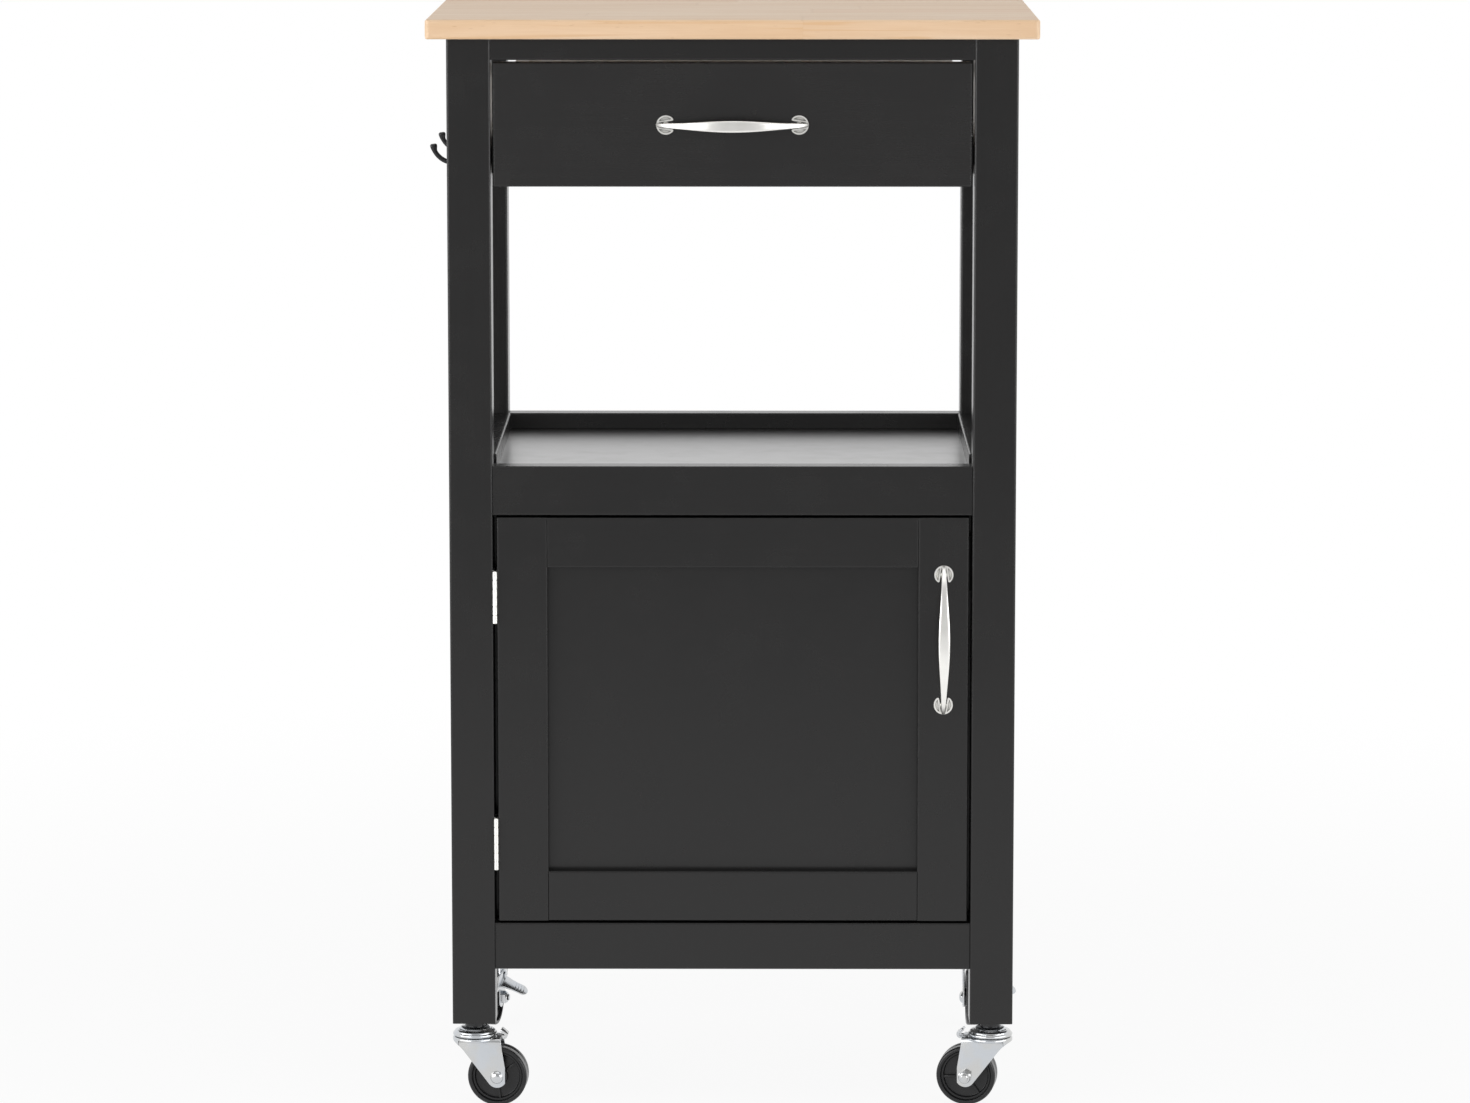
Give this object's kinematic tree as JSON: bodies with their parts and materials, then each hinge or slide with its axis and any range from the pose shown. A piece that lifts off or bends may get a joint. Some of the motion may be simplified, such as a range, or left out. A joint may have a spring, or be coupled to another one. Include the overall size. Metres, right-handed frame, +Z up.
{
  "type": "kitchen island cart",
  "caption": "Small rolling kitchen island: wood worktop on a black four-post frame with a drawer, an open shelf, a cupboard with a framed door, side hooks and swivel casters.",
  "frame": {"origin": "on the floor, under the middle of the worktop", "axes": "+X to the user's right, +Y to the back, +Z up; the door and drawer face -Y"},
  "size_m": [0.507, 0.392, 0.914],
  "materials": {
    "worktop": "clear satin, edge-glued rubberwood",
    "black_lacquer": "satin black lacquer",
    "drawer_wood": "unpainted pale wood",
    "nickel": "satin nickel",
    "zinc": "bright zinc plate",
    "black_metal": "black enamel",
    "black_plastic": "matt",
    "wheel_black": "satin moulded"
  },
  "bodies": {
    "frame": {"top_board": "worktop", "leg_front_left": "black_lacquer", "leg_front_right": "black_lacquer", "leg_back_left": "black_lacquer", "leg_back_right": "black_lacquer", "top_rail_front": "black_lacquer", "top_rail_back": "black_lacquer", "top_rails_side": "black_lacquer", "hook_rail": "black_lacquer", "runner_rail": "black_lacquer", "drawer_guides": "drawer_wood", "shelf_panel": "black_lacquer", "shelf_rail_front": "black_lacquer", "shelf_rail_back": "black_lacquer", "side_panel_left": "black_lacquer", "side_panel_right": "black_lacquer", "back_panel": "black_lacquer", "bottom_panel": "black_lacquer", "bottom_rail_front": "black_lacquer", "bottom_rail_back": "black_lacquer", "inner_shelf": "black_lacquer", "shelf_pins": "zinc", "magnet_catch": "black_plastic", "side_hooks": "black_metal", "wood_screws": "zinc", "frame_bolts": "black_metal", "frame_nuts": "zinc", "hinge_leg_leaves": "nickel", "caster_stems": "black_metal", "caster_caps": "zinc"},
    "drawer": {"drawer_front": "black_lacquer", "drawer_side_left": "drawer_wood", "drawer_side_right": "drawer_wood", "drawer_back": "drawer_wood", "drawer_bottom": "drawer_wood", "drawer_pull": "nickel", "drawer_screws": "zinc"},
    "door": {"door_stile_left": "black_lacquer", "door_stile_right": "black_lacquer", "door_rail_top": "black_lacquer", "door_rail_bottom": "black_lacquer", "door_panel": "black_lacquer", "door_pull": "nickel", "door_screws": "zinc", "hinge_door_leaves": "nickel", "strike_plate": "zinc"},
    "caster_front_left": {"fork_front_left": "zinc", "axle_front_left": "zinc"},
    "roller_front_left": {"wheel_front_left": "wheel_black"},
    "caster_front_right": {"fork_front_right": "zinc", "axle_front_right": "zinc"},
    "roller_front_right": {"wheel_front_right": "wheel_black"},
    "caster_back_left": {"fork_back_left": "zinc", "axle_back_left": "zinc"},
    "roller_back_left": {"wheel_back_left": "wheel_black"},
    "caster_back_right": {"fork_back_right": "zinc", "axle_back_right": "zinc"},
    "roller_back_right": {"wheel_back_right": "wheel_black"},
    "lever_back_left": {"brake_back_left": "zinc"},
    "lever_back_right": {"brake_back_right": "zinc"}
  },
  "joints": [
    {"name": "drawer_slide", "type": "slide", "parent": "frame", "child": "drawer", "axis": [0, -1, 0], "range_m": [0, 0.2]},
    {"name": "door_hinge", "type": "hinge", "parent": "frame", "child": "door", "pos_m": [-0.1974, -0.1775, 0.3309], "axis": [0, 0, -1], "range_deg": [0, 170]},
    {"name": "swivel_front_left", "type": "hinge", "parent": "frame", "child": "caster_front_left", "pos_m": [-0.217, -0.158, 0.06], "axis": [0, 0, 1], "continuous": true},
    {"name": "roll_front_left", "type": "hinge", "parent": "caster_front_left", "child": "roller_front_left", "pos_m": [-0.19755, -0.15936, 0.025], "axis": [0.0698, 0.9976, 0], "continuous": true},
    {"name": "swivel_front_right", "type": "hinge", "parent": "frame", "child": "caster_front_right", "pos_m": [0.217, -0.158, 0.06], "axis": [0, 0, 1], "continuous": true},
    {"name": "roll_front_right", "type": "hinge", "parent": "caster_front_right", "child": "roller_front_right", "pos_m": [0.19774, -0.15495, 0.025], "axis": [-0.1564, -0.9877, 0], "continuous": true},
    {"name": "swivel_back_left", "type": "hinge", "parent": "frame", "child": "caster_back_left", "pos_m": [-0.217, 0.158, 0.06], "axis": [0, 0, 1], "continuous": true},
    {"name": "roll_back_left", "type": "hinge", "parent": "caster_back_left", "child": "roller_back_left", "pos_m": [-0.22039, 0.1388, 0.025], "axis": [0.9848, -0.1736, 0], "continuous": true},
    {"name": "swivel_back_right", "type": "hinge", "parent": "frame", "child": "caster_back_right", "pos_m": [0.217, 0.158, 0.06], "axis": [0, 0, 1], "continuous": true},
    {"name": "roll_back_right", "type": "hinge", "parent": "caster_back_right", "child": "roller_back_right", "pos_m": [0.217, 0.1385, 0.025], "axis": [1, 0, 0], "continuous": true},
    {"name": "brake_back_left", "type": "hinge", "parent": "caster_back_left", "child": "lever_back_left", "pos_m": [-0.20589, 0.1398, 0.045], "axis": [0.9848, -0.1736, 0], "range_deg": [0, 8.5]},
    {"name": "brake_back_right", "type": "hinge", "parent": "caster_back_right", "child": "lever_back_right", "pos_m": [0.2311, 0.142, 0.045], "axis": [1, 0, 0], "range_deg": [0, 8.5]}
  ]
}
